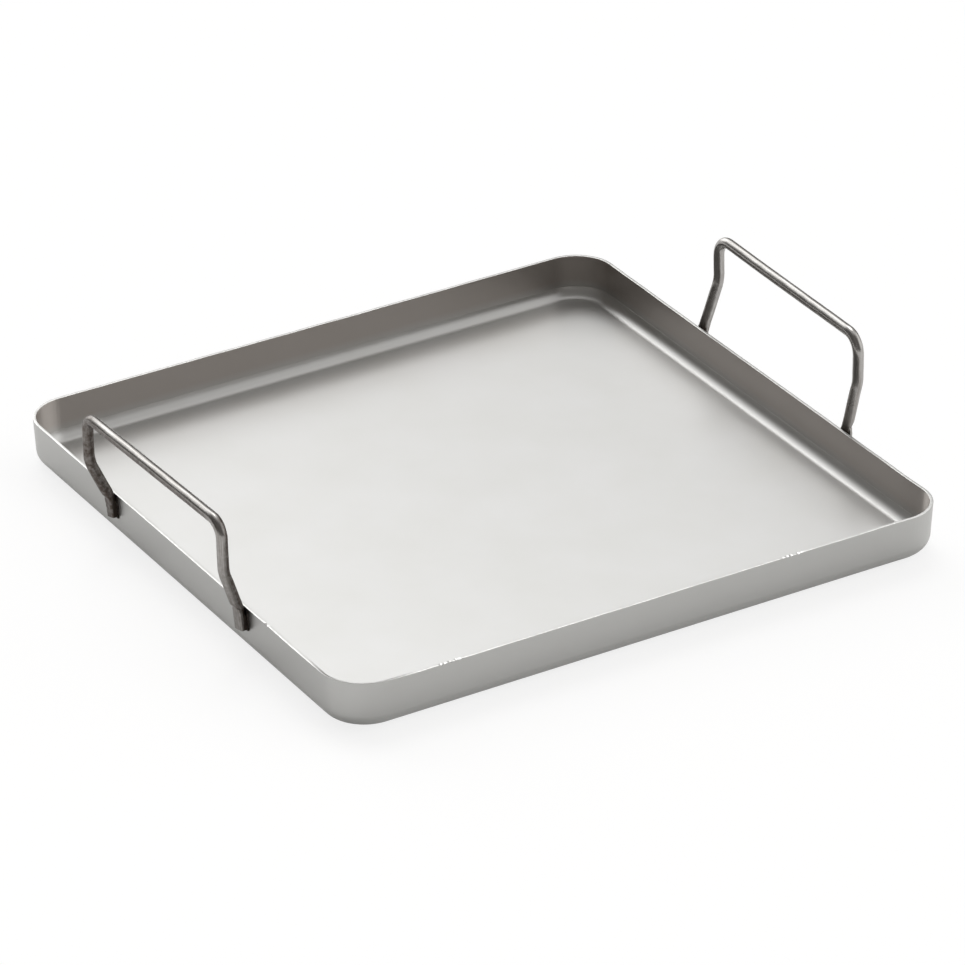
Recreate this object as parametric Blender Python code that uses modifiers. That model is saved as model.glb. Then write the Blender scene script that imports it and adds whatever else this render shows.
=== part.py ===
# Square roasting pan with two welded wire handles.
# Metres, +Z up. The origin is under the middle of the pan, on the surface it stands on.
# +X points from the left handle to the right handle, +Y to the rear wall.

import math

import bmesh
import bpy
from mathutils import Matrix, Vector

# Pan, pressed from one sheet. Width, depth and corner are taken at the outside of the rim.
PAN_WIDTH = 0.360
PAN_DEPTH = 0.360
PAN_HEIGHT = 0.0265
SHEET = 0.0018
CORNER_RADIUS = 0.024
FLOOR_RADIUS = 0.0078
WALL_DRAFT = math.radians(1.5)

# Handle, bent from one round wire. Heights run from the rim to the middle of the wire, and
# standoffs from the wall's top edge to the middle of the wire.
WIRE = 0.0060
GRIP_RISE = 0.0509
KNEE_RISE = 0.0235
LEG_SPACING = 0.1422
STANDOFF_REAR = 0.0141
STANDOFF_FRONT = 0.0115
HANDLE_SHIFT = -0.0051
GRIP_BEND = 0.0078
KNEE_BEND = 0.0160
ANKLE_BEND = 0.0080

# Foot of each leg, below the rim, pressed to a flat-sided wedge against the wall. The press turns
# the round section into a square one with round corners: 1 leaves it round.
FOOT_LENGTH = 0.0123
FOOT_WIDTH = 0.0068
FOOT_TOP_THICKNESS = 0.0056
FOOT_END_THICKNESS = 0.0042
FOOT_SQUARENESS = 1.25

# Weld bead around each foot.
WELD_BEAD = 0.0010
WELD_TOP_DROP = 0.0020

# Fits.
SEAT_GAP = 0.0003

# Fineness of the round shapes, and the angle from which an edge is shaded sharp.
CORNER_STEPS = 10
FLOOR_STEPS = 5
BEND_STEPS = 6
WIRE_RESOLUTION = 4
BEAD_RESOLUTION = 2
SHARP_ANGLE = math.radians(35)

SIDES = {"left": -1, "right": 1}
ENDS = {"rear": 1, "front": -1}
STANDOFFS = {"rear": STANDOFF_REAR, "front": STANDOFF_FRONT}


def clear_scene():
    for old in list(bpy.data.objects):
        bpy.data.objects.remove(old, do_unlink=True)


def make_collection(name):
    collection = bpy.data.collections.new(name)
    bpy.context.scene.collection.children.link(collection)
    return collection


def make_material(name, colour, roughness):
    material = bpy.data.materials.new(name)
    material.use_nodes = True
    shader = material.node_tree.nodes["Principled BSDF"]
    shader.inputs["Base Color"].default_value = (*colour, 1.0)
    shader.inputs["Roughness"].default_value = roughness
    shader.inputs["Metallic"].default_value = 1.0
    return material


def wall_inset(height):
    """How far the wall's outside lies inside the rim's outside at this height."""
    return (PAN_HEIGHT - height) * math.tan(WALL_DRAFT)


def beside_wall(side, off, height):
    """X of a point that lies off metres out from the left or right wall."""
    return side * (PAN_WIDTH / 2 - wall_inset(height) + off)


def link_mesh(name, bm, material, collection):
    mesh = bpy.data.meshes.new(name)
    bm.to_mesh(mesh)
    bm.free()
    mesh.materials.append(material)
    mesh.shade_smooth()
    mesh.set_sharp_from_angle(angle=SHARP_ANGLE)
    part = bpy.data.objects.new(name, mesh)
    collection.objects.link(part)
    return part


def round_edges(bm, edges, radius, steps):
    bmesh.ops.bevel(
        bm,
        geom=edges,
        offset=radius,
        offset_type="OFFSET",
        segments=steps,
        profile=0.5,
        affect="EDGES",
    )


def face_height(face):
    return face.calc_center_median().z


def build_pan(material, collection):
    """An open tray: a tapered box without a lid, rounded, then given the sheet's thickness."""
    bm = bmesh.new()
    bmesh.ops.create_cube(bm, size=1.0)
    bmesh.ops.scale(bm, vec=(PAN_WIDTH, PAN_DEPTH, PAN_HEIGHT), verts=bm.verts)
    bmesh.ops.translate(bm, vec=(0, 0, PAN_HEIGHT / 2), verts=bm.verts)
    upright = [edge for edge in bm.edges if edge.verts[0].co.z != edge.verts[1].co.z]
    bmesh.ops.delete(bm, geom=[max(bm.faces, key=face_height)], context="FACES_ONLY")
    for vert in bm.verts:
        inset = wall_inset(vert.co.z)
        vert.co.x -= math.copysign(inset, vert.co.x)
        vert.co.y -= math.copysign(inset, vert.co.y)
    bm.normal_update()
    round_edges(bm, upright, CORNER_RADIUS, CORNER_STEPS)
    round_edges(bm, min(bm.faces, key=face_height).edges[:], FLOOR_RADIUS, FLOOR_STEPS)
    bmesh.ops.recalc_face_normals(bm, faces=bm.faces)
    bm.normal_update()
    if min(bm.faces, key=face_height).normal.z > 0:
        bmesh.ops.reverse_faces(bm, faces=bm.faces)
    pan = link_mesh("pan", bm, material, collection)
    sheet = pan.modifiers.new("sheet", "SOLIDIFY")
    sheet.thickness = SHEET
    sheet.offset = -1.0
    sheet.use_even_offset = True
    return pan


def rounded_path(corners, radii):
    """A polyline through corners, with each inner corner turned into an arc of its radius."""
    path = [corners[0]]
    for before, corner, after, radius in zip(corners, corners[1:], corners[2:], radii):
        inward = (before - corner).normalized()
        outward = (after - corner).normalized()
        half_angle = inward.angle(outward) / 2
        centre = corner + (inward + outward).normalized() * radius / math.sin(half_angle)
        start = corner + inward * radius / math.tan(half_angle) - centre
        end = corner + outward * radius / math.tan(half_angle) - centre
        turn = start.angle(end)
        axis = start.cross(end).normalized()
        for step in range(BEND_STEPS + 1):
            path.append(centre + Matrix.Rotation(turn * step / BEND_STEPS, 3, axis) @ start)
    path.append(corners[-1])
    return path


def wire_curve(name, path, diameter, resolution):
    curve = bpy.data.curves.new(name, "CURVE")
    curve.dimensions = "3D"
    curve.bevel_depth = diameter / 2
    curve.bevel_resolution = resolution
    curve.use_fill_caps = True
    spline = curve.splines.new("POLY")
    spline.points.add(len(path) - 1)
    for point, place in zip(spline.points, path):
        point.co = (*place, 1.0)
    return bpy.data.objects.new(name, curve)


def wire_mesh(curve_object, collection):
    """The curve as a bmesh with welded caps, so that it can be pressed or cut."""
    collection.objects.link(curve_object)
    graph = bpy.context.evaluated_depsgraph_get()
    mesh = bpy.data.meshes.new_from_object(curve_object.evaluated_get(graph))
    bm = bmesh.new()
    bm.from_mesh(mesh)
    bm.transform(curve_object.matrix_world)
    bmesh.ops.remove_doubles(bm, verts=bm.verts, dist=0.00001)
    bmesh.ops.recalc_face_normals(bm, faces=bm.faces)
    bpy.data.meshes.remove(mesh)
    bpy.data.objects.remove(curve_object, do_unlink=True)
    return bm


def leg_y(end_name):
    return HANDLE_SHIFT + ENDS[end_name] * LEG_SPACING / 2


def foot_end():
    return PAN_HEIGHT - FOOT_LENGTH


def leg_corners(side, end_name):
    """Corners of one leg, from its foot past the ankle at the rim and the knee up to the grip."""
    y = leg_y(end_name)
    seat = SEAT_GAP + WIRE / 2
    far = side * (PAN_WIDTH / 2 + STANDOFFS[end_name])
    return [
        Vector((beside_wall(side, seat, foot_end()), y, foot_end())),
        Vector((beside_wall(side, seat, PAN_HEIGHT), y, PAN_HEIGHT)),
        Vector((far, y, PAN_HEIGHT + KNEE_RISE)),
        Vector((far, y, PAN_HEIGHT + GRIP_RISE)),
    ]


def squared(share):
    """A share of the wire's radius, from -1 to 1, moved outward and stopped at the flat side."""
    return max(-1.0, min(1.0, share * FOOT_SQUARENESS))


def press_foot(bm, side, y):
    """Turns the round wire of one foot into a wedge that lies along the wall."""
    radius = WIRE / 2
    for vert in bm.verts:
        if vert.co.z > PAN_HEIGHT or abs(vert.co.y - y) > WIRE:
            continue
        down = (PAN_HEIGHT - vert.co.z) / FOOT_LENGTH
        thickness = FOOT_TOP_THICKNESS + (FOOT_END_THICKNESS - FOOT_TOP_THICKNESS) * down
        off = side * (vert.co.x - beside_wall(side, SEAT_GAP, vert.co.z)) - radius
        vert.co.y = y + squared((vert.co.y - y) / radius) * FOOT_WIDTH / 2
        pressed = SEAT_GAP + (1 + squared(off / radius)) * thickness / 2
        vert.co.x = beside_wall(side, pressed, vert.co.z)


def build_handle(side_name, material, collection):
    side = SIDES[side_name]
    rear = leg_corners(side, "rear")
    front = leg_corners(side, "front")
    bends = [ANKLE_BEND, KNEE_BEND, GRIP_BEND]
    path = rounded_path(rear + front[::-1], bends + bends[::-1])
    name = f"handle_{side_name}"
    bm = wire_mesh(wire_curve(name, path, WIRE, WIRE_RESOLUTION), collection)
    for end_name in ENDS:
        press_foot(bm, side, leg_y(end_name))
    return link_mesh(name, bm, material, collection)


def build_weld(side_name, end_name, material, collection):
    """A bead down one flank of a foot, under its cut end and up the other flank."""
    side = SIDES[side_name]
    y = leg_y(end_name)
    off = SEAT_GAP + WELD_BEAD / 2
    flank = FOOT_WIDTH / 2 + off
    low = foot_end() - off
    high = PAN_HEIGHT - WELD_TOP_DROP
    corners = [(flank, high), (flank, low), (-flank, low), (-flank, high)]
    points = [Vector((beside_wall(side, off, z), y + across, z)) for across, z in corners]
    path = rounded_path(points, [off, off])
    name = f"weld_{side_name}_{end_name}"
    bm = wire_mesh(wire_curve(name, path, WELD_BEAD, BEAD_RESOLUTION), collection)
    return link_mesh(name, bm, material, collection)


def build():
    clear_scene()
    collection = make_collection("roasting_pan")
    pan_steel = make_material("blasted_steel", (0.56, 0.55, 0.53), 0.38)
    wire_steel = make_material("drawn_wire_steel", (0.30, 0.28, 0.26), 0.42)
    weld_steel = make_material("weld_steel", (0.16, 0.14, 0.13), 0.55)
    build_pan(pan_steel, collection)
    for side_name in SIDES:
        build_handle(side_name, wire_steel, collection)
        for end_name in ENDS:
            build_weld(side_name, end_name, weld_steel, collection)


build()
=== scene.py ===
import math

import bmesh
import bpy
from mathutils import Matrix, Vector, noise


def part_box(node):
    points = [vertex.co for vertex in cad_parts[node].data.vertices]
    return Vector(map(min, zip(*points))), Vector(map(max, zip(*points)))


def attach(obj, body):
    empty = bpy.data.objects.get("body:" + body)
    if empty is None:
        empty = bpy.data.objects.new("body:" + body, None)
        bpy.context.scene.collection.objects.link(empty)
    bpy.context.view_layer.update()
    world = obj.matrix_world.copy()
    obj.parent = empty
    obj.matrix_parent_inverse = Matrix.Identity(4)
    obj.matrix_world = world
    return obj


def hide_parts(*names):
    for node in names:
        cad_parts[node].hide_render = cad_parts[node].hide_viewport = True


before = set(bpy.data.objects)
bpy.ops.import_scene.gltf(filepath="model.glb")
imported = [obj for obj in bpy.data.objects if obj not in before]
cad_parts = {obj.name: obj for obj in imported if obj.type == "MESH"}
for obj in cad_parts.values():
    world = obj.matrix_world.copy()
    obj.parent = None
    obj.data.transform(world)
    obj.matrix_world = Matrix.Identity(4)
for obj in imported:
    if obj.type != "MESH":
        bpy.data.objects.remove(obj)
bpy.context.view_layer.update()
panLow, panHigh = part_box("pan")
print("frame loaded,", len(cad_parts), "nodes")

sides = {"left": -1, "right": 1}
ends = {"rear": 1, "front": -1}


# Camera, at the photograph's angle. Lengths in metres, angles in degrees.
cameraMake = {
    "azimuth": -29.80,
    "elevation": 28.51,
    "roll": -1.31,
    "distance": 3.397,
    "target": (0.0130, 0.0157, 0.0),
    "lens": 237.5,      # mm, on a 36 mm sensor
}


def towards(azimuth, elevation):
    # azimuth 0 is the front, 90 the right-hand side
    a, e = math.radians(azimuth), math.radians(elevation)
    return Vector((math.sin(a) * math.cos(e), -math.cos(a) * math.cos(e), math.sin(e)))


def buildCamera():
    m = cameraMake
    back = towards(m["azimuth"], m["elevation"])
    camera = bpy.data.objects.new("camera", bpy.data.cameras.new("camera"))
    bpy.context.scene.collection.objects.link(camera)
    camera.data.lens = m["lens"]
    camera.data.clip_end = 50
    turn = back.to_track_quat("Z", "Y").to_matrix().to_4x4()
    roll = Matrix.Rotation(math.radians(m["roll"]), 4, "Z")
    place = Vector(m["target"]) + back * m["distance"]
    camera.matrix_world = Matrix.Translation(place) @ turn @ roll
    bpy.context.scene.camera = camera


# Small helpers for modelling.
def selectOnly(piece):
    bpy.ops.object.select_all(action="DESELECT")
    piece.select_set(True)
    bpy.context.view_layer.objects.active = piece


def startEdit(piece):
    selectOnly(piece)
    bpy.ops.object.mode_set(mode="EDIT")
    bpy.ops.mesh.select_all(action="DESELECT")


def endEdit():
    bpy.ops.object.mode_set(mode="OBJECT")


def pick(kind, test):
    # selects what passes the test: kind is VERT, EDGE or FACE
    bpy.ops.mesh.select_mode(type=kind)
    bpy.ops.mesh.select_all(action="DESELECT")
    mesh = bpy.context.edit_object.data
    bm = bmesh.from_edit_mesh(mesh)
    found = {"VERT": bm.verts, "EDGE": bm.edges, "FACE": bm.faces}[kind]
    for item in found:
        if test(item):
            item.select_set(True)
    bm.select_flush_mode()
    bmesh.update_edit_mesh(mesh)


def applyPlace(piece):
    selectOnly(piece)
    bpy.ops.object.transform_apply(location=True, rotation=True, scale=True)


def smooth(piece, degrees):
    selectOnly(piece)
    bpy.ops.object.shade_smooth_by_angle(angle=math.radians(degrees))


def ease(share):
    share = max(0.0, min(1.0, share))
    return share * share * (3 - 2 * share)


def wobble(place, length, seed=0.0):
    # smooth noise from -1 to 1 that changes over this length
    return noise.noise(place / length + Vector((seed, seed * 1.7, seed * 0.6)))


# Materials. Colours are sRGB hex values, lengths are metres.
def colour(code):
    parts = [int(code[i:i + 2], 16) / 255 for i in (1, 3, 5)]
    flat = [p / 12.92 if p <= 0.04045 else ((p + 0.055) / 1.055) ** 2.4 for p in parts]
    return (*flat, 1.0)


def addNode(tree, kind, settings, links=None):
    # an input is named by its name or its number, anything else is a setting of the node
    node = tree.nodes.new(kind)
    for name, value in settings.items():
        if isinstance(name, int) or name in node.inputs:
            node.inputs[name].default_value = value
        else:
            setattr(node, name, value)
    for name, socket in (links or {}).items():
        tree.links.new(socket, node.inputs[name])
    return node


def startMaterial(name):
    material = bpy.data.materials.new(name)
    material.use_nodes = True
    tree = material.node_tree
    shader = tree.nodes["Principled BSDF"]
    shader.inputs["Metallic"].default_value = 1.0
    place = addNode(tree, "ShaderNodeTexCoord", {}).outputs["Object"]
    return material, tree, shader, place


blastedMake = {
    "light": "#CBCBCA",
    "dark": "#C8C8C6",
    "outside": "#B4B4B2",   # painted shade: the outside is given a darker grey than the inside
    "roughness": 0.38,
    "roughnessSpread": 0.01,
    "grain": 0.0010,        # blasting dimples, drawn coarser than the real 0.1 mm so that they show
    "grainDepth": 0.000009,
    "pebble": 0.0032,       # the coarser unevenness under the dimples
    "pebbleDepth": 0.000016,
    "cloud": 0.045,         # soft patches left by the press and by handling
    "film": "#B6A89F",      # thin brown film that stays on the inside of the walls
    "filmShare": 0.5,
    "filmFrom": 0.0065,     # heights at which it starts and is full
    "filmFull": 0.0125,
    "heatAndShade": "#2E2723",      # heat tint and painted shade on the steel right beside a weld
    "heatDrop": 0.0068,     # from the rim down to the middle of the weld
    "heatFull": 0.0038,     # distances from that middle
    "heatNone": 0.0050,
    "heatRagged": 0.0010,
    "heatTall": 0.75,       # the mark is taller than it is wide: heights count for less
}


def blastedSteel():
    # bead-blasted carbon steel: a pale, even satin with a fine grain and no direction
    m = blastedMake
    material, tree, shader, place = startMaterial("beadBlastedSteel")
    grain = addNode(tree, "ShaderNodeTexNoise", {"Scale": 1 / m["grain"], "Detail": 2.0},
                    {"Vector": place})
    pebble = addNode(tree, "ShaderNodeTexNoise", {"Scale": 1 / m["pebble"], "Detail": 2.0},
                     {"Vector": place})
    cloud = addNode(tree, "ShaderNodeTexNoise", {"Scale": 1 / m["cloud"], "Detail": 4.0},
                    {"Vector": place})
    patches = addNode(tree, "ShaderNodeMapRange", {"From Min": 0.3, "From Max": 0.7},
                      {"Value": cloud.outputs["Fac"]})
    bare = addNode(tree, "ShaderNodeMix",
                   {"data_type": "RGBA", 6: colour(m["dark"]), 7: colour(m["light"])},
                   {0: patches.outputs[0]})

    # the film starts where the walls leave the floor, and is uneven
    inner = addNode(tree, "ShaderNodeAttribute", {"attribute_name": "inner"})
    parts = addNode(tree, "ShaderNodeSeparateXYZ", {}, {0: place})
    onWall = addNode(tree, "ShaderNodeMapRange",
                     {"From Min": m["filmFrom"], "From Max": m["filmFull"],
                      "To Max": m["filmShare"]},
                     {"Value": parts.outputs["Z"]})
    thin = addNode(tree, "ShaderNodeMath", {"operation": "MULTIPLY"},
                   {0: onWall.outputs[0], 1: inner.outputs["Fac"]})
    # painted shade: the outer skin takes the darker grey
    skins = addNode(tree, "ShaderNodeMix", {"data_type": "RGBA", 6: colour(m["outside"])},
                    {0: inner.outputs["Fac"], 7: bare.outputs[2]})
    filmed = addNode(tree, "ShaderNodeMix", {"data_type": "RGBA", 7: colour(m["film"])},
                     {0: thin.outputs[0], 6: skins.outputs[2]})

    # heat tint and painted shade on the outside, around each of the four welds
    askew = handleMake["footBack"]["left"] / panHigh.x
    centred = addNode(tree, "ShaderNodeMapping",
                      {"Location": (0, -handleMake["shift"], 0), "Rotation": (0, 0, askew)},
                      {"Vector": place})
    mirrored = addNode(tree, "ShaderNodeVectorMath", {"operation": "ABSOLUTE"},
                       {0: centred.outputs[0]})
    squat = addNode(tree, "ShaderNodeVectorMath",
                    {"operation": "MULTIPLY", 1: (1, 1, m["heatTall"])},
                    {0: mirrored.outputs[0]})
    weldPlace = (panHigh.x, handleMake["legSpacing"] / 2,
                 m["heatTall"] * (panHigh.z - m["heatDrop"]))
    away = addNode(tree, "ShaderNodeVectorMath", {"operation": "DISTANCE", 1: weldPlace},
                   {0: squat.outputs[0]})
    ragged = addNode(tree, "ShaderNodeMath", {"operation": "MULTIPLY_ADD", 1: m["heatRagged"]},
                     {0: pebble.outputs["Fac"], 2: away.outputs["Value"]})
    heatAndShadeNear = addNode(tree, "ShaderNodeMapRange",
                     {"interpolation_type": "SMOOTHSTEP",
                      "From Min": m["heatNone"] + m["heatRagged"] / 2,
                      "From Max": m["heatFull"] + m["heatRagged"] / 2},
                     {"Value": ragged.outputs[0]})
    outer = addNode(tree, "ShaderNodeMath", {"operation": "SUBTRACT", 0: 1.0},
                    {1: inner.outputs["Fac"]})
    heatAndShade = addNode(tree, "ShaderNodeMath", {"operation": "MULTIPLY"},
                   {0: heatAndShadeNear.outputs[0], 1: outer.outputs[0]})
    skin = addNode(tree, "ShaderNodeMix", {"data_type": "RGBA", 7: colour(m["heatAndShade"])},
                   {0: heatAndShade.outputs[0], 6: filmed.outputs[2]})
    tree.links.new(skin.outputs[2], shader.inputs["Base Color"])

    rough = addNode(tree, "ShaderNodeMapRange",
                    {"To Min": m["roughness"] - m["roughnessSpread"],
                     "To Max": m["roughness"] + m["roughnessSpread"]},
                    {"Value": grain.outputs["Fac"]})
    tree.links.new(rough.outputs[0], shader.inputs["Roughness"])
    under = addNode(tree, "ShaderNodeBump", {"Strength": 1.0, "Distance": m["pebbleDepth"]},
                    {"Height": pebble.outputs["Fac"]})
    dimples = addNode(tree, "ShaderNodeBump", {"Strength": 1.0, "Distance": m["grainDepth"]},
                      {"Height": grain.outputs["Fac"], "Normal": under.outputs[0]})
    tree.links.new(dimples.outputs[0], shader.inputs["Normal"])
    return material


edgeMake = {
    "colour": "#C9C9C7",
    "roughness": 0.36,
    "mark": 0.0008,
    "markDepth": 0.00006,
}


def shearedEdge():
    # the edge left by the shear: glossier than the blasted faces, with fine marks
    m = edgeMake
    material, tree, shader, place = startMaterial("shearedSteelEdge")
    marks = addNode(tree, "ShaderNodeTexNoise", {"Scale": 1 / m["mark"], "Detail": 3.0},
                    {"Vector": place})
    bump = addNode(tree, "ShaderNodeBump", {"Strength": 1.0, "Distance": m["markDepth"]},
                   {"Height": marks.outputs["Fac"]})
    tree.links.new(bump.outputs[0], shader.inputs["Normal"])
    shader.inputs["Base Color"].default_value = colour(m["colour"])
    shader.inputs["Roughness"].default_value = m["roughness"]
    return material


wireLook = {
    "light": "#C8C7C5",
    "dark": "#A19E9A",
    "brown": "#4E4641",     # thin mill scale on the legs, and painted shade on the grip's underside, on the legs' sides that face the pan and in the crease
    "turned": "#4A423C",    # painted shade where the wire turns away from the camera
    "turnedShare": 0.5,
    "scorchAndShade": "#3A332E",    # burnt steel and painted shade between foot and wall
    "scorchFull": 0.0028,   # distances from the wall's top edge
    "scorchNone": 0.0037,
    "scorchRagged": 0.0012,
    "scorchTop": 0.007,     # it fades from just below the rim up to this far above it
    "scorchLow": 0.001,
    "line": 0.0004,         # width of the die's scratches
    "lineLength": 0.020,
    "lineDepth": 0.000007,
    "mottle": 0.0025,
    "mottleDepth": 0.00003,
    "roughness": 0.2,
    "scaleRoughness": 0.4,
}


def drawnWire():
    # drawn steel wire: smooth and fairly glossy, with fine scratches along its length
    m = wireLook
    material, tree, shader, place = startMaterial("drawnSteelWire")
    straight = addNode(tree, "ShaderNodeAttribute", {"attribute_name": "straight"})
    along = addNode(tree, "ShaderNodeMapping",
                    {"Scale": (1 / m["line"], 1 / m["line"], 1 / m["lineLength"])},
                    {"Vector": straight.outputs["Vector"]})
    lines = addNode(tree, "ShaderNodeTexNoise", {"Scale": 1.0, "Detail": 3.0},
                    {"Vector": along.outputs[0]})
    mottle = addNode(tree, "ShaderNodeTexNoise", {"Scale": 1 / m["mottle"], "Detail": 4.0},
                     {"Vector": place})
    worn = addNode(tree, "ShaderNodeMapRange", {"From Min": 0.35, "From Max": 0.65},
                   {"Value": lines.outputs["Fac"]})
    skin = addNode(tree, "ShaderNodeMix",
                   {"data_type": "RGBA", 6: colour(m["dark"]), 7: colour(m["light"])},
                   {0: worn.outputs[0]})

    parts = addNode(tree, "ShaderNodeSeparateXYZ", {}, {0: place})
    # mill scale on the legs, plus painted shade on the grip's underside, the legs' inner sides and
    # the crease
    scaleAndShade = addNode(tree, "ShaderNodeAttribute", {"attribute_name": "scaleAndShade"})
    patchy = addNode(tree, "ShaderNodeMapRange",
                     {"From Min": 0.3, "From Max": 0.7, "To Min": 0.7, "To Max": 1.15},
                     {"Value": mottle.outputs["Fac"]})
    brown = addNode(tree, "ShaderNodeMath", {"operation": "MULTIPLY", "use_clamp": True},
                    {0: scaleAndShade.outputs["Fac"], 1: patchy.outputs[0]})
    skin = addNode(tree, "ShaderNodeMix", {"data_type": "RGBA", 7: colour(m["brown"])},
                   {0: brown.outputs[0], 6: skin.outputs[2]})

    # painted shade: the wire's skin darkens where it turns away from the camera
    facing = addNode(tree, "ShaderNodeLayerWeight", {"Blend": 0.5})
    turned = addNode(tree, "ShaderNodeMapRange",
                     {"interpolation_type": "SMOOTHSTEP", "From Min": 0.4, "From Max": 0.9,
                      "To Max": m["turnedShare"]}, {"Value": facing.outputs["Facing"]})
    skin = addNode(tree, "ShaderNodeMix", {"data_type": "RGBA", 7: colour(m["turned"])},
                   {0: turned.outputs[0], 6: skin.outputs[2]})

    # burnt, and painted shade, where the foot lies close to the wall, bright again on the face the
    # electrode pressed
    aside = addNode(tree, "ShaderNodeMath", {"operation": "ABSOLUTE"}, {0: parts.outputs["X"]})
    ragged = addNode(tree, "ShaderNodeMath", {"operation": "MULTIPLY_ADD", 1: m["scorchRagged"]},
                     {0: mottle.outputs["Fac"], 2: aside.outputs[0]})
    close = addNode(tree, "ShaderNodeMapRange",
                    {"From Min": panHigh.x + m["scorchNone"],
                     "From Max": panHigh.x + m["scorchFull"]},
                    {"Value": ragged.outputs[0]})
    atFoot = addNode(tree, "ShaderNodeMapRange",
                     {"From Min": panHigh.z + m["scorchTop"],
                      "From Max": panHigh.z - m["scorchLow"]},
                     {"Value": parts.outputs["Z"]})
    burntAndShaded = addNode(tree, "ShaderNodeMath", {"operation": "MULTIPLY"},
                    {0: close.outputs[0], 1: atFoot.outputs[0]})
    skin = addNode(tree, "ShaderNodeMix", {"data_type": "RGBA", 7: colour(m["scorchAndShade"])},
                   {0: burntAndShaded.outputs[0], 6: skin.outputs[2]})
    tree.links.new(skin.outputs[2], shader.inputs["Base Color"])

    rough = addNode(tree, "ShaderNodeMapRange",
                    {"To Min": m["roughness"], "To Max": m["scaleRoughness"]},
                    {"Value": scaleAndShade.outputs["Fac"]})
    tree.links.new(rough.outputs[0], shader.inputs["Roughness"])
    lumps = addNode(tree, "ShaderNodeBump", {"Strength": 1.0, "Distance": m["mottleDepth"]},
                    {"Height": mottle.outputs["Fac"]})
    scratches = addNode(tree, "ShaderNodeBump", {"Strength": 1.0, "Distance": m["lineDepth"]},
                        {"Height": lines.outputs["Fac"], "Normal": lumps.outputs[0]})
    tree.links.new(scratches.outputs[0], shader.inputs["Normal"])
    return material


weldLook = {
    "bare": "#6B625B",
    "scale": "#2B2623",
    "lump": 0.0007,
    "lumpDepth": 0.0001,
    "roughness": 0.5,
}


def weldScale():
    # weld metal under a skin of black scale, bare metal on its high spots
    m = weldLook
    material, tree, shader, place = startMaterial("weldScale")
    lumps = addNode(tree, "ShaderNodeTexNoise", {"Scale": 1 / m["lump"], "Detail": 4.0},
                    {"Vector": place})
    high = addNode(tree, "ShaderNodeMapRange", {"From Min": 0.52, "From Max": 0.72},
                   {"Value": lumps.outputs["Fac"]})
    skin = addNode(tree, "ShaderNodeMix",
                   {"data_type": "RGBA", 6: colour(m["scale"]), 7: colour(m["bare"])},
                   {0: high.outputs[0]})
    tree.links.new(skin.outputs[2], shader.inputs["Base Color"])
    bump = addNode(tree, "ShaderNodeBump", {"Strength": 1.0, "Distance": m["lumpDepth"]},
                   {"Height": lumps.outputs["Fac"]})
    tree.links.new(bump.outputs[0], shader.inputs["Normal"])
    shader.inputs["Roughness"].default_value = m["roughness"]
    return material


# Pan.
panMake = {
    "sheet": 0.0018,                # the steel's thickness
    "corner": 0.024,                # round of the rim's corners, outside
    "foot": 0.0078,                 # round between floor and walls, outside
    "footRelief": 1.2,              # inside, the round reaches higher up the wall by this much
    "lean": math.radians(1.5),      # the walls open towards the rim
    "rimSoft": 0.0003,              # what the shear rounds off the rim's two edges
    "rimBand": 0.0012,              # depth of the finely cut band below the rim
    "cornerSteps": 16,
    "footSteps": 10,
    "wallSteps": 100,
    "bandSteps": 5,
    "rimSteps": 2,
    "smoothAngle": 40,              # degrees, the handles use it too
}

# What press, shear and use leave uneven.
unevenMake = {
    "wave": 0.0004,
    "waveLength": 0.11,
    "rimWave": 0.00015,
    "rimLength": 0.020,
    "nick": 0.00008,
    "nickLength": 0.0016,
    "burr": 0.0006,
    "burrLength": 0.0006,
    "burrSharpness": 3,
    # torn stretches of the rim's outer edge: wall, from and to
    "burrs": (("front", -0.131, -0.110), ("front", 0.076, 0.090), ("left", -0.101, -0.093)),
    "rimReach": 0.003,              # how far in from the outside a vertex still counts as rim
    "cornerReach": 0.045,
    "frontRise": 0.0014,            # the front left corner stands a little high, most outside
    "riseInside": 0.4,
    "rightPush": 0.0013,            # the front right corner bulges, less towards the floor
    "pushAtFloor": 0.35,
}


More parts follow.
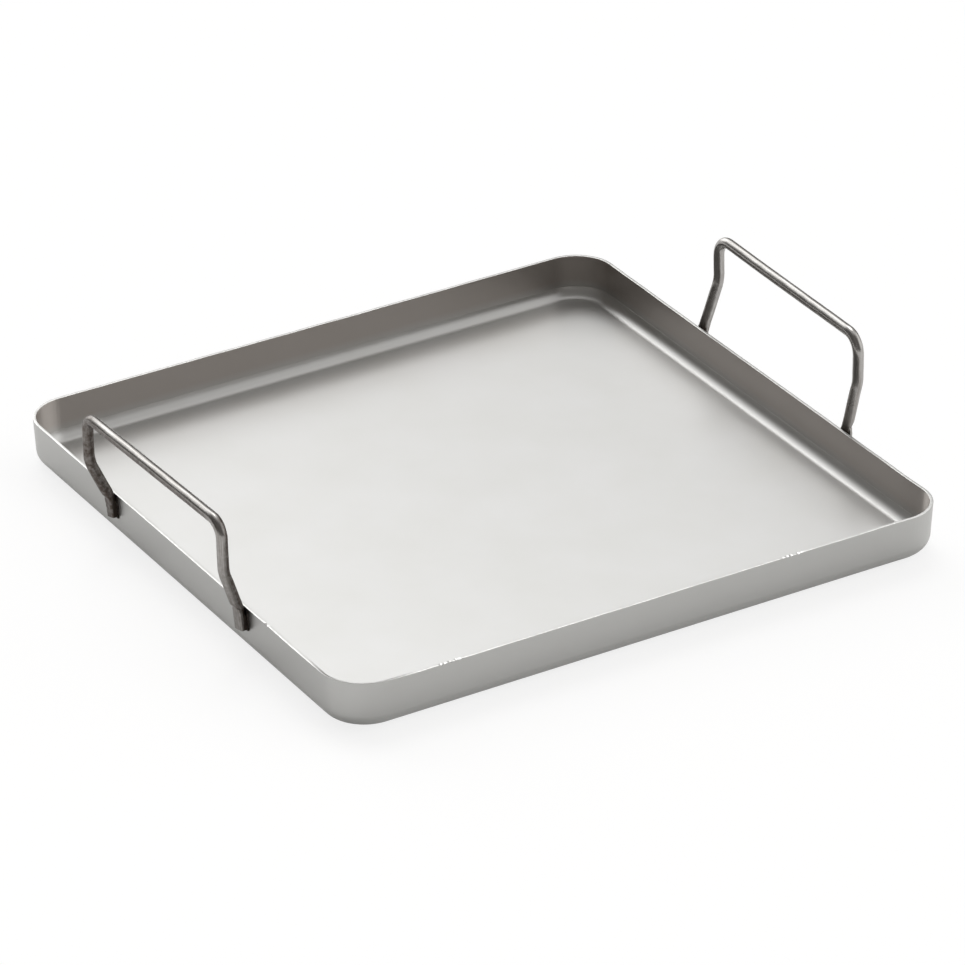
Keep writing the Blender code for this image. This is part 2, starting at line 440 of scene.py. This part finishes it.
def buildPan(steel, edge):
    m = panMake
    low, high = panLow, panHigh
    size = high - low
    bpy.ops.mesh.primitive_cube_add(size=1, location=(low + high) / 2, scale=size)
    pan = bpy.context.object
    pan.name = "panShell"
    applyPlace(pan)

    startEdit(pan)
    pick("FACE", lambda f: f.normal.z > 0.5)
    bpy.ops.mesh.delete(type="ONLY_FACE")
    inset = size.z * math.tan(m["lean"])
    pick("VERT", lambda v: v.co.z < high.z / 2)
    bpy.ops.transform.resize(value=(1 - 2 * inset / size.x, 1 - 2 * inset / size.y, 1),
                             center_override=(0, 0, 0))
    pick("EDGE", lambda e: e.verts[0].co.z != e.verts[1].co.z)
    bpy.ops.mesh.bevel(offset=m["corner"], segments=m["cornerSteps"], affect="EDGES")
    pick("EDGE", lambda e: max(v.co.z for v in e.verts) < 0.0001)
    bpy.ops.mesh.bevel(offset=m["foot"], segments=m["footSteps"], affect="EDGES")
    pick("EDGE", lambda e: e.calc_length() > size.x / 2)
    bpy.ops.mesh.subdivide(number_cuts=m["wallSteps"])
    pick("FACE", lambda f: True)
    bpy.ops.mesh.normals_make_consistent(inside=False)
    endEdit()

    sheet = pan.modifiers.new("sheet", "SOLIDIFY")
    sheet.thickness = m["sheet"]
    sheet.offset = -1
    sheet.use_even_offset = True
    selectOnly(pan)
    bpy.ops.object.modifier_apply(modifier="sheet")

    startEdit(pan)
    pick("EDGE", lambda e: isRimEdge(e, high.z))
    bpy.ops.mesh.bevel(offset=m["rimSoft"], segments=m["rimSteps"], affect="EDGES")
    pick("FACE", lambda f: True)
    bandLow = high.z - m["rimBand"]
    bpy.ops.mesh.bisect(plane_co=(0, 0, bandLow), plane_no=(0, 0, 1))
    pick("EDGE", lambda e: isBandEdge(e, bandLow))
    bpy.ops.mesh.subdivide(number_cuts=m["bandSteps"])
    endEdit()
    pan.data.materials.append(steel)
    pan.data.materials.append(edge)
    for face in pan.data.polygons:
        if face.normal.z > 0.9 and face.center.z > high.z - m["rimSoft"]:
            face.material_index = 1
    makeUneven(pan)
    smooth(pan, m["smoothAngle"])
    # the large flat faces keep their own normals, so that they reflect flat
    weighted = pan.modifiers.new("weighted", "WEIGHTED_NORMAL")
    weighted.keep_sharp = True
    bpy.ops.object.modifier_apply(modifier="weighted")
    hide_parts("pan")
    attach(pan, "root")
    print("pan built,", len(pan.data.polygons), "faces")


def isRimEdge(edge, top):
    # the two long edges of the sheared rim: one of their faces is the flat top
    if min(v.co.z for v in edge.verts) < top - 0.0001 or len(edge.link_faces) != 2:
        return False
    return abs(edge.link_faces[0].normal.z - edge.link_faces[1].normal.z) > 0.5


def isBandEdge(edge, bandLow):
    # the edges that run along the rim, in the band and at its lower end, and not across the sheet
    first, second = (v.co for v in edge.verts)
    hair = 0.00002
    level = abs(first.z - second.z) < hair
    return level and first.z > bandLow - hair and edge.calc_length() > panMake["sheet"] + 0.0001


def isInside(at):
    # true on the tray's inner skin, whose corners are rounded with the sheet taken off
    skin = panMake["sheet"]
    if at.z < skin * 0.9:
        return False
    straight = panHigh.x - panMake["corner"]
    beyond = Vector((max(abs(at.x) - straight, 0), max(abs(at.y) - straight, 0)))
    wall = panMake["corner"] - (panHigh.z - at.z) * math.tan(panMake["lean"])
    reach = beyond.length
    if at.z > panMake["foot"]:
        return reach < wall - skin / 2
    # below the walls, the round's own middle line tells the two skins apart
    radius = panMake["foot"]
    out = reach - (wall - radius)
    return out < 0 or math.hypot(out, radius - at.z) < radius - skin / 2


def makeUneven(pan):
    m = unevenMake
    inner = pan.data.attributes.new("inner", "FLOAT", "POINT")
    frontLeft = Vector((panLow.x, panLow.y))
    frontRight = Vector((panHigh.x, panLow.y))
    for vert in pan.data.vertices:
        at = vert.co.copy()
        within = isInside(at)
        inner.data[vert.index].value = within
        high = at.z / panHigh.z
        flat = Vector((at.x, at.y, 0))
        vert.co.x += m["wave"] * high * wobble(flat, m["waveLength"], 3)
        vert.co.y += m["wave"] * high * wobble(flat, m["waveLength"], 8)
        vert.co.z += m["rimWave"] * high * high * wobble(flat, m["rimLength"], 5)
        nearLeft = ease(1 - (at.xy - frontLeft).length / m["cornerReach"])
        vert.co.z += m["frontRise"] * nearLeft * high * (m["riseInside"] if within else 1)
        nearRight = ease(1 - (at.xy - frontRight).length / m["cornerReach"])
        push = m["rightPush"] * nearRight * (m["pushAtFloor"] + (1 - m["pushAtFloor"]) * high)
        vert.co.x += push * 0.7
        vert.co.y -= push * 0.7
        if within and at.z < panMake["foot"] + 0.0001:
            vert.co.z += (at.z - panMake["sheet"]) * (panMake["footRelief"] - 1)
        if at.z < panHigh.z - 0.0005:
            continue
        vert.co.z -= m["nick"] * abs(wobble(at, m["nickLength"]))
        for wall, start, stop in m["burrs"]:
            onFront = wall == "front" and at.y < panLow.y + m["rimReach"]
            onLeft = wall == "left" and at.x < panLow.x + m["rimReach"]
            along = at.x if wall == "front" else at.y
            if (onFront or onLeft) and start < along < stop:
                share = math.sin(math.pi * (along - start) / (stop - start))
                torn = ease(wobble(at, m["burrLength"], 2) * m["burrSharpness"]) * (not within)
                vert.co.z -= m["burr"] * share * torn


# Handles. Rises are from the rim, standoffs from the wall's top edge, both to the wire's middle.
# The bender did not set the two handles quite alike.
handleMake = {
    "wire": 0.006,
    "gripRise": {"left": {"rear": 0.0502, "front": 0.0516},
                 "right": {"rear": 0.0504, "front": 0.0504}},
    "gripRound": {"left": {"rear": 0.0080, "front": 0.0085},
                  "right": {"rear": 0.0115, "front": 0.0100}},
    # mill scale left on each leg, at its foot and where it meets the grip
    "scaleAndShade": {"left": {"rear": (1.0, 0.85), "front": (0.65, 0.4)},
               "right": {"rear": (0.4, 0.25), "front": (0.4, 0.2)}},
    "scaledFade": 0.020,        # along the grip
    "scaledTop": {"left": 0.15, "right": 0.0},
    "shadeUnder": {"left": 0.95, "right": 0.75},   # painted shade on the grip's underside
    "shadeInside": {"left": 0.8, "right": 0.0},    # painted shade, more on the legs' sides that face the pan
    "kneeRise": 0.0235,
    "legSpacing": 0.1422,
    "shift": -0.0051,
    "standoff": {"rear": 0.0141, "front": 0.0115},
    "kneeRound": 0.022,
    "ankleRound": 0.010,
    # the feet were not welded straight below the knees
    "footBack": {"left": 0.0019, "right": -0.0019},
    "footLength": {"rear": 0.0138, "front": 0.0128},
    "footWidth": {"rear": 0.0072, "front": 0.0086},
    "footTop": {"rear": 0.0044, "front": 0.0046},
    "footEnd": {"rear": 0.0030, "front": 0.0037},
    "footCut": 0.0009,          # the end is cut at a slant, higher on the front side
    "pressFade": 0.0025,        # over which the round wire turns flat-sided
    "crease": -0.0012,          # the step at the electrode's upper edge, just above the rim
    "creaseSoft": {"rear": 0.0040, "front": 0.0005},
    "groove": {"rear": 0.0001, "front": 0.0009},    # what its corner cut there
    "grooveWidth": 0.0008,
    # painted shade in the groove at the crease
    "grooveShade": 1.0,
    "footSquare": 1.25,         # the press squares the round section: 1 leaves it round
    "footRough": 0.00012,
    "footRoughLength": 0.0014,
    "footRoughFade": 0.002,
    "seat": 0.0003,
    "around": 40,
    "bendSteps": 12,
    "runStep": 0.003,
    "footStep": 0.0003,
    "bow": 0.0003,              # hand-bent: not quite straight anywhere above the feet
    "bowFade": 0.02,
    "bowLength": 0.055,
    "dent": 0.00007,
    "dentLength": 0.005,
}


def besideWall(side, off, height):
    # x of a point off metres out from a side wall, whose outside leans in below the rim
    return side * (panHigh.x - (panHigh.z - height) * math.tan(panMake["lean"]) + off)


def sweepRound(name, corners, rounds, radius, around, bendSteps, runStep, endStep):
    # a disc pulled along the corners: straight runs are extruded, and each corner is spun
    direction = (corners[1] - corners[0]).normalized()
    bpy.ops.object.select_all(action="DESELECT")
    bpy.ops.mesh.primitive_circle_add(vertices=around, radius=radius, fill_type="NGON")
    piece = bpy.context.object
    piece.name = name
    startEdit(piece)
    pick("FACE", lambda f: True)
    bm = bmesh.from_edit_mesh(piece.data)
    straight = bm.verts.layers.float_vector.new("straight")
    for vert in bm.verts:
        vert[straight] = vert.co
    bmesh.update_edit_mesh(piece.data)
    endEdit()
    turn = direction.to_track_quat("Z", "Y").to_matrix().to_4x4()
    piece.matrix_world = Matrix.Translation(corners[0]) @ turn
    applyPlace(piece)
    startEdit(piece)
    pick("FACE", lambda f: True)
    at = corners[0]
    step = endStep
    for corner, after, bendRound in zip(corners[1:], corners[2:], rounds):
        onward = (after - corner).normalized()
        bend = direction.angle(onward)
        reach = bendRound * math.tan(bend / 2)
        at = pullRun(at, corner - direction * reach, step)
        step = runStep
        axis = direction.cross(onward).normalized()
        centre = at + axis.cross(direction) * bendRound
        for _ in range(bendSteps):
            bpy.ops.mesh.spin(steps=1, angle=-bend / bendSteps, center=centre, axis=axis)
            markPulled(bendRound * bend / bendSteps)
        at = corner + onward * reach
        direction = onward
    pullRun(at, corners[-1], endStep)
    pick("FACE", lambda f: True)
    bpy.ops.mesh.normals_make_consistent(inside=False)
    endEdit()
    return piece


def pullRun(start, finish, runStep):
    steps = max(1, round((finish - start).length / runStep))
    step = (finish - start) / steps
    for _ in range(steps):
        bpy.ops.mesh.extrude_region_move(TRANSFORM_OT_translate={"value": step})
        markPulled(step.length)
    return finish


def markPulled(length):
    # keeps, on each new ring, where it would lie on the wire before it was bent
    mesh = bpy.context.edit_object.data
    bm = bmesh.from_edit_mesh(mesh)
    straight = bm.verts.layers.float_vector["straight"]
    for vert in bm.verts:
        if vert.select:
            vert[straight] = vert[straight] + Vector((0, 0, length))
    bmesh.update_edit_mesh(mesh)


def legY(end):
    return handleMake["shift"] + ends[end] * handleMake["legSpacing"] / 2


def legCorners(name, end):
    m = handleMake
    side = sides[name]
    seat = m["seat"] + m["wire"] / 2
    far = side * (panHigh.x + m["standoff"][end])
    foot = panHigh.z - m["footLength"][end]
    return [
        Vector((besideWall(side, seat, foot), legY(end), foot)),
        Vector((besideWall(side, seat, panHigh.z), legY(end), panHigh.z)),
        Vector((far, legY(end), panHigh.z + m["kneeRise"])),
        Vector((far, legY(end), panHigh.z + m["gripRise"][name][end])),
    ]


def squared(share):
    return max(-1.0, min(1.0, share * handleMake["footSquare"]))


def pressFoot(handle, name, end):
    # the electrodes leave the foot flat-sided and wider than the wire, with a step at their edge
    m = handleMake
    side = sides[name]
    rim = panHigh.z
    radius = m["wire"] / 2
    middle = legY(end)
    length, width = m["footLength"][end], m["footWidth"][end]
    top, bottom = m["footTop"][end], m["footEnd"][end]
    for vert in handle.data.vertices:
        x, y, z = vert.co
        if z > rim + m["pressFade"] or abs(y - middle) > m["wire"]:
            continue
        down = max(0.0, (rim - z) / length)
        thick = top + (bottom - top) * down
        off = side * (x - besideWall(side, m["seat"], z)) - radius
        above = m["pressFade"] if off > 0 else 0
        wide = ease((rim + above - z) / (2 * m["pressFade"]))
        vert.co.y = y + (middle + squared((y - middle) / radius) * width / 2 - y) * wide
        soft = m["creaseSoft"][end] if off > 0 else m["pressFade"]
        flat = ease((rim - m["crease"] - z) / soft)
        pressed = besideWall(side, m["seat"] + (1 + squared(off / radius)) * thick / 2, z)
        vert.co.x = x + (pressed - x) * flat
        groove = m["groove"][end] * ease(1 - abs(z - rim + m["crease"]) / m["grooveWidth"])
        vert.co.x -= side * groove * (off > 0)
        nearEnd = ease((down - 0.6) / 0.4)
        vert.co.z -= m["footCut"] * nearEnd * (vert.co.y - middle) * 2 / width
        rough = m["footRough"] * ease((rim - z) / m["footRoughFade"])
        vert.co.x += rough * wobble(vert.co, m["footRoughLength"], 4)
        vert.co.y += rough * wobble(vert.co, m["footRoughLength"], 9)


def paintScaleAndShade(handle, name):
    m = handleMake
    # mill scale on the legs, with painted shade on the grip's underside, on the legs' sides that
    # face the pan and in the crease
    scaleAndShade = handle.data.attributes.new("scaleAndShade", "FLOAT", "POINT")
    for vert in handle.data.vertices:
        end = "rear" if vert.co.y > m["shift"] else "front"
        foot, grip = m["scaleAndShade"][name][end]
        up = ease((vert.co.z - panHigh.z) / m["gripRise"][name][end])
        along = m["legSpacing"] / 2 - abs(vert.co.y - m["shift"])
        inward = -sides[name] * vert.normal.x
        left = foot + (grip - foot) * up
        # painted shade on the sides that face the pan
        left += m["shadeInside"][name] * ease((inward + 0.1) / 0.7)
        # painted shade in the crease's groove, on the front feet
        nearCrease = ease(1 - abs(vert.co.z - panHigh.z + m["crease"]) / m["grooveWidth"])
        left += m["grooveShade"] * nearCrease * (inward < -0.2) * (end == "front")
        # painted shade on the grip's underside, darker as the normal turns down
        top = m["scaledTop"][name]
        under = top + (m["shadeUnder"][name] - top) * ease((0.7 - vert.normal.z) / 0.7)
        onGrip = ease(along / m["scaledFade"])
        scaleAndShade.data[vert.index].value = min(left, 1.0) * (1 - onGrip) + under * onGrip


def buildHandle(name, steel):
    m = handleMake
    rounds = {end: [m["ankleRound"], m["kneeRound"], m["gripRound"][name][end]] for end in ends}
    corners = legCorners(name, "rear") + legCorners(name, "front")[::-1]
    handle = sweepRound("handle." + name, corners, rounds["rear"] + rounds["front"][::-1],
                        m["wire"] / 2, m["around"], m["bendSteps"], m["runStep"], m["footStep"])
    for end in ends:
        pressFoot(handle, name, end)
    for vert in handle.data.vertices:
        free = ease((vert.co.z - panHigh.z) / m["bowFade"])
        knee = panHigh.z + m["kneeRise"]
        vert.co.y += m["footBack"][name] * ease((knee - vert.co.z) / m["kneeRise"])
        for axis in range(3):
            bow = m["bow"] * wobble(vert.co, m["bowLength"], 3 + axis * 5 + sides[name])
            dent = m["dent"] * wobble(vert.co, m["dentLength"], 4 + axis * 7)
            vert.co[axis] += free * (bow + dent)
    paintScaleAndShade(handle, name)
    handle.data.materials.append(steel)
    smooth(handle, panMake["smoothAngle"])
    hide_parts("handle_" + name)
    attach(handle, "root")
    print("handle", name, "bent,", len(handle.data.polygons), "faces")


# Welds, one around each foot.
weldMake = {
    "bead": 0.0008,
    "sunk": 0.0003,         # how far the bead runs into the foot and into the wall
    "topDrop": 0.0016,
    "around": 14,
    "bendSteps": 5,
    "step": 0.0003,
    "lump": 0.00022,
    "lumpLength": 0.0013,
}


def buildWeld(name, end, metal):
    m = weldMake
    side = sides[name]
    off = m["bead"] / 2 - m["sunk"] / 2
    flank = handleMake["footWidth"][end] / 2 + m["bead"] / 2 - m["sunk"]
    bottom = panHigh.z - handleMake["footLength"][end] - m["bead"] / 2 + m["sunk"]
    top = panHigh.z - m["topDrop"]
    middle = legY(end) + handleMake["footBack"][name]
    route = [(flank, top), (flank, bottom), (-flank, bottom), (-flank, top)]
    corners = [Vector((besideWall(side, off, z), middle + across, z)) for across, z in route]
    weld = sweepRound(f"weld.{name}.{end}", corners, [m["bead"], m["bead"]], m["bead"] / 2,
                      m["around"], m["bendSteps"], m["step"], m["step"])
    for vert in weld.data.vertices:
        at = vert.co.copy()
        lumps = Vector([wobble(at, m["lumpLength"], 2 + axis * 6) for axis in range(3)])
        vert.co += lumps * m["lump"]
    weld.data.materials.append(metal)
    smooth(weld, 60)
    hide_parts(f"weld_{name}_{end}")
    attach(weld, "root")
    print("weld", name, end, "run")


# Floor, light and background.
studioMake = {
    "floor": "#F1F1EF",
    "floorSize": 12.0,
    "floorDrop": 0.0002,            # keeps the floor just clear of the pan's underside
    "floorSeen": (0.25, 0.80),      # the camera's floor: colour in the light, and its own glow
    "floorMirrored": (1.00, 0.22),  # the same for the floor that metal mirrors
    "roomTint": "#FFFAF4",
    "dark": 0.12,
    "roomSide": (10, 13),           # azimuth and elevation of the room's bright side
    "roomFade": (180, 0),           # angles from it at which its light starts and is full
    "roomLight": 0.08,
    # soft boxes: azimuth and elevation of the middle, the angle from it at which the box starts,
    # the one at which it is full, and its strength
    "boxes": {
        "side": ((66, 20), (42, 24), 1.12),
        "key": ((156, 54), (20, 2), 3.55),
        "back": ((183, 18.5), (29, 11), 2.75),
        "top": ((141, 61), (50, 16), 0.74),
    },
}


def skyPart(tree, direction, middle, edge, level):
    # a soft-edged round part of the sky, as a strength
    start, full = (math.cos(math.radians(e)) for e in edge)
    near = addNode(tree, "ShaderNodeVectorMath", {"operation": "DOT_PRODUCT", 1: towards(*middle)},
                   {0: direction})
    return addNode(tree, "ShaderNodeMapRange",
                   {"interpolation_type": "SMOOTHSTEP", "From Min": start, "From Max": full,
                    "To Max": level}, {"Value": near.outputs["Value"]}).outputs[0]


def buildStudio():
    m = studioMake
    bpy.ops.object.select_all(action="DESELECT")
    bpy.ops.mesh.primitive_plane_add(size=m["floorSize"], location=(0, 0, -m["floorDrop"]))
    floor = bpy.context.object
    floor.name = "studioFloor"
    applyPlace(floor)
    material, tree, shader, _ = startMaterial("paperSweep")
    tree.nodes.remove(shader)
    rays = addNode(tree, "ShaderNodeLightPath", {}).outputs
    paper = addNode(tree, "ShaderNodeBsdfDiffuse", {"Color": colour(m["floor"])})
    # metal and glass show the same white floor that the camera sees, with more of its shadow
    mirrors = addNode(tree, "ShaderNodeMath", {"operation": "MAXIMUM"},
                      {0: rays["Is Glossy Ray"], 1: rays["Is Transmission Ray"]})
    looks = [(mirrors.outputs[0], m["floorMirrored"]), (rays["Is Camera Ray"], m["floorSeen"])]
    for ray, (lit, glowing) in looks:
        faint = addNode(tree, "ShaderNodeBsdfDiffuse", {"Color": (lit, lit, lit, 1)})
        glow = addNode(tree, "ShaderNodeEmission", {"Strength": glowing})
        seen = addNode(tree, "ShaderNodeAddShader", {}, {0: faint.outputs[0], 1: glow.outputs[0]})
        paper = addNode(tree, "ShaderNodeMixShader", {},
                        {0: ray, 1: paper.outputs[0], 2: seen.outputs[0]})
    tree.links.new(paper.outputs[0], tree.nodes["Material Output"].inputs["Surface"])
    material.cycles.emission_sampling = "NONE"
    floor.data.materials.append(material)

    world = bpy.data.worlds.new("studio")
    bpy.context.scene.world = world
    world.use_nodes = True
    tree = world.node_tree
    direction = addNode(tree, "ShaderNodeTexCoord", {}).outputs["Generated"]
    room = skyPart(tree, direction, m["roomSide"], m["roomFade"], m["roomLight"])
    boxes = None
    for middle, edge, level in m["boxes"].values():
        box = skyPart(tree, direction, middle, edge, level)
        if boxes is None:
            boxes = box
        else:
            boxes = addNode(tree, "ShaderNodeMath", {"operation": "ADD"},
                            {0: boxes, 1: box}).outputs[0]
    lifted = addNode(tree, "ShaderNodeMath", {"operation": "ADD", 1: m["dark"]}, {0: room})
    # bare steel shows only what it mirrors, so it keeps seeing the boxes where the camera sees white
    roomDome = tree.nodes["Background"]
    roomDome.inputs["Color"].default_value = colour(m["roomTint"])
    tree.links.new(lifted.outputs[0], roomDome.inputs["Strength"])
    boxDome = addNode(tree, "ShaderNodeBackground", {"Color": (1, 1, 1, 1)},
                      {"Strength": boxes})
    dome = addNode(tree, "ShaderNodeAddShader", {}, {0: roomDome.outputs[0], 1: boxDome.outputs[0]})
    white = addNode(tree, "ShaderNodeBackground", {"Color": (1, 1, 1, 1), "Strength": 1.0})
    rays = addNode(tree, "ShaderNodeLightPath", {}).outputs
    both = addNode(tree, "ShaderNodeMixShader", {},
                   {0: rays["Is Camera Ray"], 1: dome.outputs[0], 2: white.outputs[0]})
    tree.links.new(both.outputs[0], tree.nodes["World Output"].inputs["Surface"])
    bpy.context.scene.view_settings.view_transform = "Standard"


buildCamera()
buildStudio()
print("camera and studio set")
blasted = blastedSteel()
sheared = shearedEdge()
drawn = drawnWire()
burntScale = weldScale()
print("materials mixed")
buildPan(blasted, sheared)
for name in sides:
    buildHandle(name, drawn)
    for end in ends:
        buildWeld(name, end, burntScale)

print("all pieces in place")
